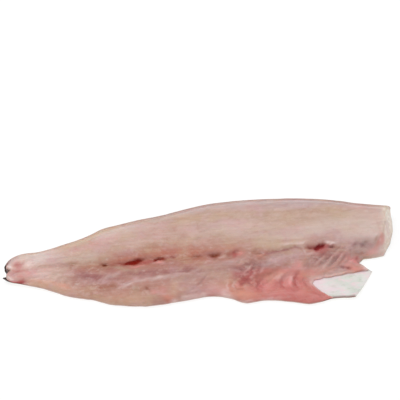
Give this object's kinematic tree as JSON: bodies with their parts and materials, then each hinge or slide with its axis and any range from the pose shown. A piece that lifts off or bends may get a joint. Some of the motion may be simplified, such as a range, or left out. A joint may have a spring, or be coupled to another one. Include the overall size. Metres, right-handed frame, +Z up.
{
  "type": "walleye fillet",
  "caption": "Raw skin-on fish fillet lying skin side down, with a thick back, a thin belly flap and bare skin in a notch at the head end.",
  "frame": {"origin": "under the middle of the fillet's bounding box, on the surface that it lies on", "axes": "+X along the fillet towards the head end, +Y across it towards the back edge, +Z up from the skin to the cut side"},
  "size_m": [0.324, 0.0986, 0.021],
  "materials": {
    "raw_flesh": "moist satin",
    "scaled_skin": "moist satin"
  },
  "bodies": {
    "root": {"flesh": "raw_flesh", "skin": "scaled_skin"}
  },
  "joints": []
}
